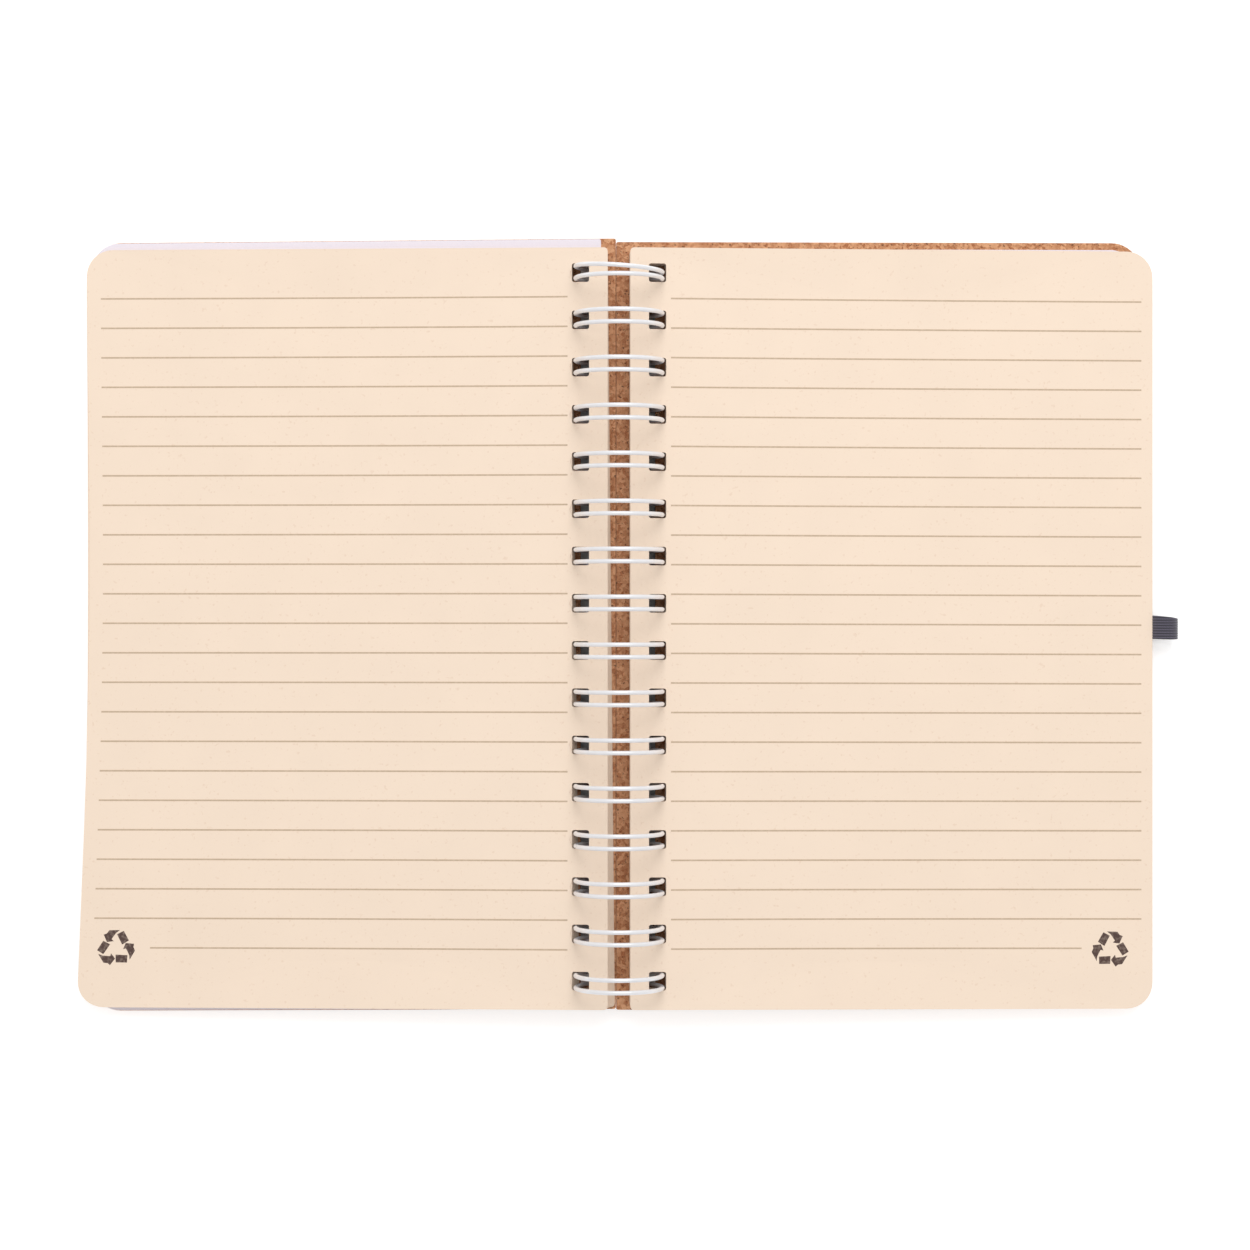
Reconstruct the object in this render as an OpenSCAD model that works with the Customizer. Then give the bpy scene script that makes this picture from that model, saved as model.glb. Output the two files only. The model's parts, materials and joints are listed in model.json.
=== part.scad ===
// Wire-bound notebook with cork covers, lying open at its middle on a table.
// +X runs from the spine to the right-hand fore-edge, +Y to the head of the pages, +Z up from the table.

/* [Covers] */
// How far the open page's fore-edge lies past the front board's fore-edge, with the sheets fanned over the rings
fore_fan = 0.5; // [0:0.1:3]
// How far a cover board reaches past the sheets at the head and at the foot, when they lie level
end_square = 2.5; // [1.5:0.5:5]
// Thickness of a cover board with its cork facing
cover_t = 2; // [1.2:0.1:3]
// Corner radius at the fore-edge
cover_outer_r = 8; // [3:0.5:14]
// Corner radius at the spine edge
cover_inner_r = 2.2; // [0.8:0.1:4]
// Gap between the two boards under the rings
seam_gap = 0.5; // [0.3:0.1:1.5]
// Middle of that gap, measured from the ring axis
seam_x = -0.8; // [-1.2:0.1:1.2]
// How high the front board stands off the table at the ring axis
front_lift = 3.4; // [2.8:0.1:4]
// How high the back board stands off the table at the ring axis
back_lift = 2.6; // [2.4:0.1:4]

/* [Linings] */
// Thickness of the paper pasted inside each board
lining_t = 0.2; // [0.1:0.05:0.5]
// Bare border of the back board round its lining
lining_inset = 2.5; // [1:0.1:6]
// Bare border of the front board at the head and the fore-edge, where its lining sits askew
lining_near_inset = 0.6; // [0.2:0.1:2]

/* [Pages] */
// Width of a sheet, which the cover boards follow
page_w = 141; // [108:0.5:168]
// Height of a sheet, which the cover boards and the number of loops follow
page_h = 205; // [176:1:255]
// Thickness of the sheets on one side, at the fore-edge
stack_t = 3.8; // [2:0.1:5]
// Corner radius at the fore-edge
page_outer_r = 7; // [3:0.5:12]
// Corner radius at the spine edge
page_inner_r = 1; // [0.5:0.1:3]
// How far outside the outermost sheets the corners are rounded
trim_play = 0.1; // [0.05:0.05:0.5]
// How far the sheets sit towards the foot of the covers
page_drop = 0.5; // [0:0.1:1.5]
// Gap between the facing pages when the notebook is shut
face_gap = 0.3; // [0.2:0.05:1]

/* [Punched holes] */
// Width of a hole in a sheet, across the spine
hole_w = 4.6; // [4:0.1:5.5]
// Paper left between a hole and the spine edge of its sheet
hole_margin = 5; // [4:0.1:5.5]
// Room round a wire where it lies against a sheet or a board
hole_play = 0.4; // [0.3:0.05:0.8]
// Room between a hole's ends and the outer sides of its two wires
hole_end_play = 0.25; // [0.2:0.05:0.6]
// Least distance from the head or foot of a sheet to the middle of its first hole
first_hole = 6; // [5:0.1:12]

/* [Wire binding] */
// Distance from one double loop to the next
loop_pitch = 12.7; // [11:0.1:15]
// Diameter of the coated wire
wire_d = 1.2; // [0.8:0.1:1.5]
// Ring diameter, measured at the middle of its wire
ring_d = 23.3; // [21:0.1:28]
// Distance between the two wires of a loop
loop_gap = 3.3; // [2.6:0.1:4]
// Distance between the two wires of the loop at the head, which is pinched
pinched_gap = 1.9; // [1.6:0.1:3.3]
// Radius of the bend where a loop turns into the straight wire to its neighbour
root_bend_r = 1.5; // [1.1:0.1:2]
// How much thicker the coating is round the tight bends
bend_swell = 0.05; // [0.03:0.01:0.1]
// Gap between a loop's closed tip and that straight wire
tip_gap = 0.3; // [0.2:0.1:1]
// Length of the cut end left at the head and the foot
cut_end = 1.6; // [0.5:0.1:3]

/* [Pen loop] */
// Width of the elastic, along the fore-edge
elastic_w = 6.2; // [5:0.1:20]
// Thickness of the elastic
elastic_t = 0.8; // [0.5:0.05:0.9]
// Inside diameter of the loop
pen_d = 6.2; // [5:0.1:10]
// Angle at which the loop's two sides leave the round part
neck_angle = 45; // [35:1:55]
// How far the elastic's two layers lie together past the board's edge before they part
stem_len = 1.8; // [0:0.1:6]
// Gap between the loop and the table
loop_rest = 0.25; // [0.2:0.05:1]
// Length of the elastic's ends held inside the board
tail_len = 12; // [8:0.5:25]
// Middle of the elastic, towards the head from the middle of the board
loop_y = 0; // [-80:1:80]
// Depth of the crease where the round part meets its neck
crease = 0.06; // [0.04:0.01:0.2]
// How much narrower the elastic's glued ends are drawn in, on each side
tail_draw = 0.1; // [0.05:0.05:0.5]
// Room round the elastic's ends in their pocket
pocket_play = 0.1; // [0.05:0.05:0.3]

/* [Hidden] */
$fn = 96;
over = 1;
edge_steps = 8;
wire_r = wire_d / 2;
bend_r = wire_r + bend_swell;
lap = 4 * bend_swell;
ring_r = ring_d / 2;

// The straight wires between loops lie lowest, on the table, straight below the ring axis.
root_reach = sqrt(ring_r * ring_r + root_bend_r * root_bend_r);
root_angle = atan(root_bend_r / ring_r);
axis_z = root_reach + bend_r;

loop_count = floor((page_h - 2 * first_hole) / loop_pitch) + 1;
hole_l = loop_gap + wire_d + 2 * hole_end_play;
page_z = cover_t + lining_t;

// Distances of the boards' edges from the ring axis, outward on their own side.
front_edge = seam_gap / 2 - seam_x;
back_edge = seam_gap / 2 + seam_x;

// The boards are cut to the sheets, both to the same size.
high_edge = sheet_edge(axis_z - face_gap / 2);
cover_w = high_edge + page_w - fore_fan - front_edge;
cover_h = page_h + 2 * end_square;
front_tilt = asin(front_lift / (front_edge + cover_w));
back_tilt = asin(back_lift / (back_edge + cover_w));

// The loop's centre in the back board's own frame.
pen_r = pen_d / 2;
loop_r = pen_r + elastic_t / 2;
loop_outer_r = pen_r + elastic_t;
neck_reach = loop_r / sin(neck_angle);
tail_z = cover_t - elastic_t;
loop_slant = asin((loop_outer_r + loop_rest - tail_z) / neck_reach);
loop_x = back_edge + cover_w + stem_len + neck_reach * cos(loop_slant);
loop_z = loop_outer_r + loop_rest;

// Distance of a loop's middle along the spine.
function loop_y_at(i) = (i - (loop_count - 1) / 2) * loop_pitch;

// Distance between the wires of one loop.
function gap_at(i) = i == loop_count - 1 ? pinched_gap : loop_gap;

// Where a circle round the ring axis cuts a plane of a board, in the board's own frame.
function ring_cross(radius, z, lift, tilt) =
    let (h = axis_z - lift)
    sqrt(radius * radius - pow(h * cos(tilt) - z, 2)) - h * sin(tilt);

// The spine edge of the sheet that crosses the rings at height z.
function sheet_edge(z) =
    sqrt(pow(ring_r + wire_r + hole_play, 2) - pow(axis_z - z, 2)) - hole_w - hole_margin;

// Top of the lining at a distance x from the ring axis.
function bed_z(x, lift, tilt) = lift - x * tan(tilt) + page_z / cos(tilt);

// Spine edge of the lowest sheet, and the slope of the open page.
function low_edge(lift, tilt) = sheet_edge(bed_z(0, lift, tilt));
function page_slope(lift, tilt) =
    let (x = high_edge + page_w)
    atan((axis_z - face_gap / 2 - bed_z(x, lift, tilt) - stack_t) / x);
function face_z(x, lift, tilt) =
    let (slope = page_slope(lift, tilt))
    axis_z - face_gap / 2 / cos(slope) - x * tan(slope);

// Height at the rings, spine edge and fore-edge of the sheet at a share k of the way up the stack.
function spine_z(k, lift, tilt) =
    let (low = bed_z(low_edge(lift, tilt), lift, tilt), high = face_z(high_edge, lift, tilt))
    low + k * (high - low);
function spine_x(k, lift, tilt) = sheet_edge(spine_z(k, lift, tilt));
function fore_x(k, lift, tilt) = spine_x(k, lift, tilt) + page_w;
function fore_z(k, lift, tilt) =
    let (low = bed_z(fore_x(0, lift, tilt), lift, tilt), high = face_z(fore_x(1, lift, tilt), lift, tilt))
    low + k * (high - low);

// The middle of the whole object, measured from the ring axis, is the origin.
reach_right = loop_x * cos(back_tilt) + loop_z * sin(back_tilt) + loop_outer_r;
reach_left = fore_x(1, front_lift, front_tilt);
mid_x = (reach_right - reach_left) / 2;

// Rectangle from x0 to x1 with one corner radius at x0 and another at x1.
module rounded_sheet(x0, x1, y0, y1, r0, r1) {
    difference() {
        translate([x0, y0])
            square([x1 - x0, y1 - y0]);
        for (side = [0, 1]) {
            r = side == 0 ? r0 : r1;
            x = side == 0 ? x0 : x1;
            cx = side == 0 ? x0 + r : x1 - r;
            for (end = [0, 1]) {
                y = end == 0 ? y0 : y1;
                cy = end == 0 ? y0 + r : y1 - r;
                difference() {
                    translate([min(x, cx) - (side == 0 ? over : 0), min(y, cy) - (end == 0 ? over : 0)])
                        square([r + over, r + over]);
                    translate([cx, cy])
                        circle(r);
                }
            }
        }
    }
}

// The row of holes in a board or its lining, in the board's own frame.
module board_holes(lift, tilt) {
    near = ring_cross(ring_r - wire_r, 0, lift, tilt) - hole_play;
    far = ring_cross(ring_r + wire_r, page_z, lift, tilt) + hole_play;
    for (i = [0 : loop_count - 1])
        translate([near, loop_y_at(i) - hole_l / 2])
            square([max(hole_w, far - near), hole_l]);
}

// Moves a board's own frame to its place, sloping from its lift at the ring axis down to the table.
module lay_board(lift, tilt) {
    translate([0, 0, lift])
        rotate([0, tilt, 0])
            children();
}

// The front half is drawn to the right of the ring axis and mirrored.
module front_side() {
    translate([-mid_x, 0, 0])
        mirror([1, 0, 0])
            children();
}

module back_side() {
    translate([-mid_x, 0, 0])
        children();
}

module board(edge, lift, tilt) {
    linear_extrude(cover_t)
        difference() {
            rounded_sheet(edge, edge + cover_w, -cover_h / 2, cover_h / 2, cover_inner_r, cover_outer_r);
            board_holes(lift, tilt);
        }
}

// Paper pasted on a board, with the bare border named for each side.
module lining(edge, lift, tilt, spine_in, fore_in, foot_in, head_in) {
    translate([0, 0, cover_t])
        linear_extrude(lining_t)
            difference() {
                rounded_sheet(
                    edge + spine_in, edge + cover_w - fore_in,
                    -cover_h / 2 + foot_in, cover_h / 2 - head_in,
                    cover_inner_r, cover_outer_r - fore_in
                );
                board_holes(lift, tilt);
            }
}

// Section of a fanned stack of sheets, from the lowest sheet's edges up to the open page.
module stack_section(lift, tilt) {
    spine = [for (n = [0 : edge_steps]) [spine_x(n / edge_steps, lift, tilt), spine_z(n / edge_steps, lift, tilt)]];
    fore = [for (n = [edge_steps : -1 : 0]) [fore_x(n / edge_steps, lift, tilt), fore_z(n / edge_steps, lift, tilt)]];
    polygon(concat(spine, fore));
}

// The curved shaft that the punched holes of one stack make round a loop.
module hole_shaft() {
    shaft_r = ring_r + wire_r + hole_play;
    difference() {
        circle(shaft_r);
        translate([-hole_w, 0])
            circle(shaft_r);
        translate([-2 * shaft_r, -shaft_r - over])
            square([2 * shaft_r, 2 * (shaft_r + over)]);
    }
}

module page_stack(lift, tilt) {
    foot = -page_h / 2 - page_drop;
    head = page_h / 2 - page_drop;
    difference() {
        intersection() {
            translate([0, head + over, 0])
                rotate([90, 0, 0])
                    linear_extrude(page_h + 2 * over)
                        stack_section(lift, tilt);
            linear_extrude(axis_z)
                rounded_sheet(
                    spine_x(0, lift, tilt) - trim_play, fore_x(1, lift, tilt) + trim_play,
                    foot, head, page_inner_r, page_outer_r
                );
        }
        for (i = [0 : loop_count - 1])
            translate([0, loop_y_at(i) + hole_l / 2, axis_z])
                rotate([90, 0, 0])
                    linear_extrude(hole_l)
                        hole_shaft();
    }
}

// An arc of wire round the local Z axis, of a given thickness.
module wire_arc(radius, thick_r, start, sweep) {
    rotate([0, 0, start])
        rotate_extrude(angle = sweep)
            translate([radius, 0])
                circle(thick_r);
}

// Moves a frame that lies on the ring's outside to an angle from straight below the axis.
// There +X points along the ring away from the root, and +Y along the spine.
module on_ring(angle) {
    rotate([0, -angle, 0])
        translate([0, 0, -ring_r])
            children();
}

// One double loop: two wires side by side, which run a little way into a bend at the tip and at each root.
module double_loop(gap) {
    tip_angle = atan((gap / 2 + wire_d + tip_gap) / ring_r);
    lap_angle = atan(lap / ring_r);
    for (side = [-1, 1]) {
        translate([0, side * gap / 2, 0])
            rotate([90, 0, 0])
                wire_arc(
                    ring_r, wire_r, tip_angle - lap_angle - 90, 360 - tip_angle - root_angle + 2 * lap_angle
                );
        translate([0, side * gap / 2, 0])
            on_ring(-root_angle)
                translate([0, side * root_bend_r, 0])
                    wire_arc(root_bend_r, bend_r, side > 0 ? -90 : 0, 90);
    }
    on_ring(tip_angle)
        wire_arc(gap / 2, bend_r, 90, 180);
}

// Straight wire along the spine, straight below the ring axis.
module straight_wire(y0, y1) {
    translate([0, y0, -root_reach])
        rotate([-90, 0, 0])
            cylinder(h = y1 - y0, r = wire_r);
}

module front_cover() {
    color("#b98560")
        front_side()
            lay_board(front_lift, front_tilt)
                board(front_edge, front_lift, front_tilt);
}

module front_lining() {
    color("#ede8f0")
        front_side()
            lay_board(front_lift, front_tilt)
                lining(
                    front_edge, front_lift, front_tilt,
                    lining_inset, lining_near_inset, lining_inset, lining_near_inset
                );
}

module left_pages() {
    color("#f6e0c8")
        front_side()
            page_stack(front_lift, front_tilt);
}

module back_cover() {
    pocket_w = elastic_w + 2 * pocket_play;
    pocket_t = 2 * elastic_t + pocket_play;
    color("#b98560")
        back_side()
            lay_board(back_lift, back_tilt)
                difference() {
                    board(back_edge, back_lift, back_tilt);
                    translate([
                        back_edge + cover_w - tail_len - pocket_play,
                        loop_y - pocket_w / 2,
                        cover_t - pocket_t
                    ])
                        cube([tail_len + pocket_play + over, pocket_w, pocket_t + over]);
                }
}

module back_lining() {
    color("#ede8f0")
        back_side()
            lay_board(back_lift, back_tilt)
                lining(
                    back_edge, back_lift, back_tilt,
                    lining_inset, lining_inset, lining_inset, lining_inset
                );
}

module right_pages() {
    color("#f6e0c8")
        back_side()
            page_stack(back_lift, back_tilt);
}

// One wire, bent into every loop in turn, with a short cut end past the first and the last.
module wire_binding() {
    first_y = loop_y_at(0) - gap_at(0) / 2 - root_bend_r;
    last_y = loop_y_at(loop_count - 1) + gap_at(loop_count - 1) / 2 + root_bend_r;
    color("#e6e6e8")
        translate([-mid_x, 0, axis_z])
            union() {
                for (i = [0 : loop_count - 1])
                    translate([0, loop_y_at(i), 0])
                        double_loop(gap_at(i));
                for (i = [0 : loop_count - 2])
                    straight_wire(
                        loop_y_at(i) + gap_at(i) / 2 + root_bend_r - lap,
                        loop_y_at(i + 1) - gap_at(i + 1) / 2 - root_bend_r + lap
                    );
                straight_wire(first_y - cut_end, first_y + lap);
                straight_wire(last_y - lap, last_y + cut_end);
            }
}

// Solid of the loop's eye and its neck, with a slight crease where they meet.
module eye_and_neck(radius, length) {
    neck_r = radius - crease;
    union() {
        cylinder(h = length, r = radius, center = true);
        linear_extrude(length, center = true)
            polygon([
                [-neck_r / sin(neck_angle), 0],
                [-neck_r * sin(neck_angle), -neck_r * cos(neck_angle)],
                [0, 0],
                [-neck_r * sin(neck_angle), neck_r * cos(neck_angle)]
            ]);
    }
}

// Elastic folded into a round eye, with its two ends laid together and held in the board.
module pen_loop() {
    color("#2b2b30")
        back_side()
            lay_board(back_lift, back_tilt)
                union() {
                    translate([loop_x, loop_y, loop_z])
                        rotate([90, -loop_slant, 0])
                            difference() {
                                eye_and_neck(loop_outer_r, elastic_w);
                                eye_and_neck(pen_r, elastic_w + 2 * over);
                            }
                    translate([
                        back_edge + cover_w - tail_len,
                        loop_y - elastic_w / 2 + tail_draw,
                        tail_z - elastic_t
                    ])
                        cube([
                            tail_len + stem_len + elastic_t / 2,
                            elastic_w - 2 * tail_draw,
                            2 * elastic_t
                        ]);
                }
}

front_cover();
front_lining();
left_pages();
back_cover();
back_lining();
right_pages();
wire_binding();
pen_loop();
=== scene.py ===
"""Looks of an open wire-bound notebook: sheets, print, wire, cork covers, pen loop and the stage round them."""

import json
import math
import random

import bpy
from bpy.props import FloatProperty, FloatVectorProperty, IntProperty, PointerProperty
from bpy.types import Operator, Panel, PropertyGroup
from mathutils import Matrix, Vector
from mathutils.geometry import delaunay_2d_cdt


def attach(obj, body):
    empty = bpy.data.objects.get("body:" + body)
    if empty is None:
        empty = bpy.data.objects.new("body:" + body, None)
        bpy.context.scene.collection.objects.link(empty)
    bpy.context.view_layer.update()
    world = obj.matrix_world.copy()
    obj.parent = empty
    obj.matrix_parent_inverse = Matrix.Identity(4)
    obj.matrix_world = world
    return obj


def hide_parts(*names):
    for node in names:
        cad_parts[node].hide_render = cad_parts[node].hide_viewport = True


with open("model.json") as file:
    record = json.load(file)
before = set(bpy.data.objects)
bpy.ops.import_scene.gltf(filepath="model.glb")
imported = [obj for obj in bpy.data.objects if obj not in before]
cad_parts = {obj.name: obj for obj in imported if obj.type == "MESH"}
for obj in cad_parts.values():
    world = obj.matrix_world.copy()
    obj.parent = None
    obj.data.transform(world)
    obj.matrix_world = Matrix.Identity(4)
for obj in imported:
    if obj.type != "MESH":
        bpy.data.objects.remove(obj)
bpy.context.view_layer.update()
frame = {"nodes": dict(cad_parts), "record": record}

bl_info = {
    "name": "Wire-bound notebook",
    "version": (1, 0, 0),
    "blender": (4, 5, 0),
    "location": "3D View > Sidebar > Notebook",
    "description": "Builds the sheets, print, wire, covers and pen loop of an open wire-bound notebook",
    "category": "Object",
}

MM = 0.001
RING = Vector(frame["record"]["behaviour"]["joints"][0]["pos_m"])
EYE = Vector(frame["record"]["mounts"][0]["pos_m"])

LEFT, RIGHT = -1, 1
PAGE_NODES = {LEFT: "left_pages", RIGHT: "right_pages"}
COVER_NODES = {LEFT: "front_cover", RIGHT: "back_cover"}
LINING_NODES = {LEFT: "front_lining", RIGHT: "back_lining"}
BODIES = {LEFT: "front_half", RIGHT: "back_half"}
SIDE_NAMES = {LEFT: "left", RIGHT: "right"}

# Rubber cords lying side by side in the elastic.
RIBS = 9


def linear(hex_code):
    """Turns an sRGB hex colour into the linear values that Blender works in."""
    parts = [int(hex_code[i:i + 2], 16) / 255 for i in (1, 3, 5)]
    return tuple(c / 12.92 if c <= 0.04045 else ((c + 0.055) / 1.055) ** 2.4 for c in parts)


def length(name, description, default_mm):
    """A length that the sidebar shows in scene units."""
    return FloatProperty(name=name, description=description, default=default_mm * MM, unit="LENGTH", precision=5)


def colour(name, description, hex_code):
    """A colour that the sidebar shows as a swatch."""
    return FloatVectorProperty(
        name=name, description=description, default=linear(hex_code), subtype="COLOR", min=0, max=1
    )


class NotebookPaper(PropertyGroup):
    """Sizes and colours of the sheets and what is printed on them."""

    sheet_count: IntProperty(
        name="Sheets a side", description="Sheets on each side of the rings", default=36, min=4, subtype="UNSIGNED"
    )
    sheet_t: length("Sheet thickness", "Thickness of one sheet", 0.095)
    width: length("Sheet width", "Width of a sheet from spine edge to fore-edge", 141)
    height: length("Sheet height", "Height of a sheet", 205)
    drop: length("Drop", "How far the sheets sit towards the foot of the covers", 0.5)
    fall: length("Fall", "How far the right-hand sheets fall to the foot at their fore-edge", 0.42)
    outer_r: length("Outer corner", "Corner radius at the fore-edge", 7)
    inner_r: length("Inner corner", "Corner radius at the spine edge", 1)
    hole_w: length("Hole width", "Width of a punched hole across the spine", 4.6)
    hole_l: length("Hole length", "Length of a punched hole along the spine", 5)
    hole_r: length("Hole corner", "Corner radius of a punched hole", 0.55)
    hole_margin: length("Hole margin", "Paper between a hole and the spine edge", 5)
    tear: length("Tear", "Deepest tear at the far side of a hole in the left-hand page", 0.9)
    sag: length("Sag", "How far the open page sags between rings and fore-edge", 0.9)
    fray: length("Fray", "How unevenly the sheets' edges lie", 0.12)
    hollow: length("Hollow", "How far the left-hand page's fore-edge is hollow at its middle", 0.9)
    reach: length("Reach", "How far the right-hand sheets' fore-edge lies past that of the solid", 0.4)
    flare: length("Flare", "How far the left-hand page's foot corner stands out", 2.8)
    rule_w: length("Rule width", "Width of a ruled line", 0.42)
    ink_t: length("Ink thickness", "How far the print stands above the sheet", 0.02)
    paper: colour("Paper", "Uncoated recycled paper", "#fbe6d1")
    fleck: colour("Flecks", "Fibre flecks in the paper", "#cfa583")
    rule: colour("Rules", "Ruled lines", "#c9b299")
    sign: colour("Sign", "Printed recycling sign", "#5c4a45")
    edge: colour("Cut edge", "Guillotined edges of the sheets", "#e6c4a2")
    # The punched-edge colour is a dark brown painted shade for the inside of the deep holes.
    cut: colour("Punched edge", "Punched edges inside the holes", "#7a3f22")


class NotebookBinding(PropertyGroup):
    """Sizes and colours of the wire, the covers and the pen loop."""

    loop_count: IntProperty(
        name="Loops", description="Double loops along the spine", default=16, min=2, subtype="UNSIGNED"
    )
    pitch: length("Loop pitch", "Distance from one double loop to the next", 12.7)
    wire_d: length("Wire", "Diameter of the coated wire", 1.2)
    ring_d: length("Ring", "Ring diameter at the middle of the wire", 23.3)
    play: length("Hole play", "Room round a wire in its hole", 0.4)
    gap: length("Wire gap", "Distance between the two wires of a loop", 3.3)
    pinch: length("Pinched gap", "Distance between the wires at the top of the loop at the head", 1.7)
    lean: length("Lean", "How far the loop at the head leans to the foot", 0.9)
    root_r: length("Root bend", "Radius of the bend into the straight wire", 1.5)
    tip_gap: length("Tip gap", "Gap between a loop's tip and the straight wire", 0.3)
    cut_end: length("Cut end", "Length of wire past the last bend", 1.6)
    wire: colour("Wire coating", "Silver-white coating", "#f5f5f8")
    cork_light: colour("Cork, light", "Lightest cork granules", "#e2ae86")
    cork_dark: colour("Cork, dark", "Darkest cork granules", "#a5653f")
    bark: colour("Bark specks", "Bark specks between the granules", "#5a3a28")
    lining: colour("Lining", "White lining paper", "#f5f2ff")
    elastic_w: length("Elastic width", "Width of the pen loop along the fore-edge", 6.5)
    elastic_t: length("Elastic thickness", "Thickness of the elastic", 0.8)
    pen_r: length("Eye radius", "Inside radius of the pen loop", 3.1)
    stem: length("Stem", "How far the elastic's two layers lie together past the board", 1.8)
    tail: length("Tail", "Length of the elastic held inside the board", 12)
    elastic: colour("Elastic", "Woven elastic", "#4a4654")


def add(tree, kind, inputs=None, **settings):
    """Adds a node, gives it its settings, and fills or links its inputs by name or number."""
    node = tree.nodes.new(kind)
    for name, value in settings.items():
        setattr(node, name, value)
    for key, value in (inputs or {}).items():
        if isinstance(value, bpy.types.NodeSocket):
            tree.links.new(value, node.inputs[key])
        else:
            node.inputs[key].default_value = value
    return node


def new_material(name):
    """An empty node material and its node tree."""
    material = bpy.data.materials.new(name)
    material.use_nodes = True
    material.node_tree.nodes.clear()
    return material, material.node_tree


def surfaced(material, shader):
    """The material, with the shader as its surface."""
    add(material.node_tree, "ShaderNodeOutputMaterial", {"Surface": shader.outputs[0]})
    return material


def rgba(values, share=1.0):
    """Linear colour with full alpha, darkened by a share."""
    return (values[0] * share, values[1] * share, values[2] * share, 1.0)


def recycled_paper(paper):
    """Uncoated recycled paper, calendered only lightly: matt, warm, faintly cloudy, with stray brown fibres."""
    material, tree = new_material("uncoated_recycled_paper")
    place = add(tree, "ShaderNodeTexCoord").outputs["Object"]
    # The pulp is cloudy over about 14 mm.
    cloud = add(tree, "ShaderNodeTexNoise", {"Vector": place, "Scale": 1 / (14 * MM), "Detail": 2})
    cloudy = add(tree, "ShaderNodeMix", {
        0: cloud.outputs["Fac"], 6: rgba(paper.paper), 7: rgba(paper.paper, 0.95)
    }, data_type="RGBA")
    # Fibre flecks are about 0.7 mm long and lie every way.
    speck = add(tree, "ShaderNodeTexNoise", {"Vector": place, "Scale": 1 / (0.9 * MM), "Detail": 1, "Roughness": 0.4})
    fleck = add(tree, "ShaderNodeMapRange", {
        "Value": speck.outputs["Fac"], "From Min": 0.66, "From Max": 0.78, "To Max": 0.18
    })
    flecked = add(tree, "ShaderNodeMix", {
        0: fleck.outputs["Result"], 6: cloudy.outputs[2], 7: rgba(paper.fleck)
    }, data_type="RGBA")
    # The felt side's tooth is about 0.35 mm.
    tooth = add(tree, "ShaderNodeTexNoise", {"Vector": place, "Scale": 1 / (0.35 * MM), "Detail": 2})
    bump = add(tree, "ShaderNodeBump", {"Height": tooth.outputs["Fac"], "Strength": 0.12, "Distance": 0.03 * MM})
    shader = add(tree, "ShaderNodeBsdfPrincipled", {
        "Base Color": flecked.outputs[2], "Normal": bump.outputs["Normal"], "Roughness": 0.85, "IOR": 1.5,
        "Specular IOR Level": 0.25
    })
    return surfaced(material, shader)


def punched_edge_painted_shade(paper):
    """Punched paper edges seen down a deep hole: a dark brown painted shade for the depth of the holes, unevenly
    mottled, darker than the faces.
    """
    material, tree = new_material("punched_paper_edge_painted_shade")
    place = add(tree, "ShaderNodeTexCoord").outputs["Object"]
    mottle = add(tree, "ShaderNodeTexNoise", {"Vector": place, "Scale": 1 / (0.6 * MM), "Detail": 1})
    tone = add(tree, "ShaderNodeMix", {
        0: mottle.outputs["Fac"], 6: rgba(paper.cut, 0.7), 7: rgba(paper.cut, 1.3)
    }, data_type="RGBA")
    shader = add(tree, "ShaderNodeBsdfPrincipled", {
        "Base Color": tone.outputs[2], "Roughness": 0.95, "IOR": 1.5,
        "Specular IOR Level": 0.1
    })
    return surfaced(material, shader)


def guillotined_edge(paper):
    """Guillotined paper edges: fibres cut square, so they look warmer and a little darker than the faces."""
    material, tree = new_material("guillotined_paper_edge")
    place = add(tree, "ShaderNodeTexCoord").outputs["Object"]
    # The knife leaves the edge uneven over about 3 mm.
    cut = add(tree, "ShaderNodeTexNoise", {"Vector": place, "Scale": 1 / (3 * MM), "Detail": 2})
    tone = add(tree, "ShaderNodeMix", {
        0: cut.outputs["Fac"], 6: rgba(paper.edge), 7: rgba(paper.edge, 0.85)
    }, data_type="RGBA")
    shader = add(tree, "ShaderNodeBsdfPrincipled", {
        "Base Color": tone.outputs[2], "Roughness": 0.9, "IOR": 1.5,
        "Specular IOR Level": 0.2
    })
    return surfaced(material, shader)


def offset_ink(name, tint, sheet):
    """Offset printing ink soaked into uncoated paper: matt, a little uneven where the fibres take less of it."""
    material, tree = new_material(name)
    place = add(tree, "ShaderNodeTexCoord").outputs["Object"]
    soak = add(tree, "ShaderNodeTexNoise", {"Vector": place, "Scale": 1 / (0.8 * MM), "Detail": 2})
    share = add(tree, "ShaderNodeMapRange", {
        "Value": soak.outputs["Fac"], "From Min": 0.45, "From Max": 0.9, "To Max": 0.3
    })
    tone = add(tree, "ShaderNodeMix", {0: share.outputs["Result"], 6: rgba(tint), 7: rgba(sheet)}, data_type="RGBA")
    shader = add(tree, "ShaderNodeBsdfPrincipled", {
        "Base Color": tone.outputs[2], "Roughness": 0.9, "IOR": 1.5,
        "Specular IOR Level": 0.1
    })
    return surfaced(material, shader)


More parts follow.
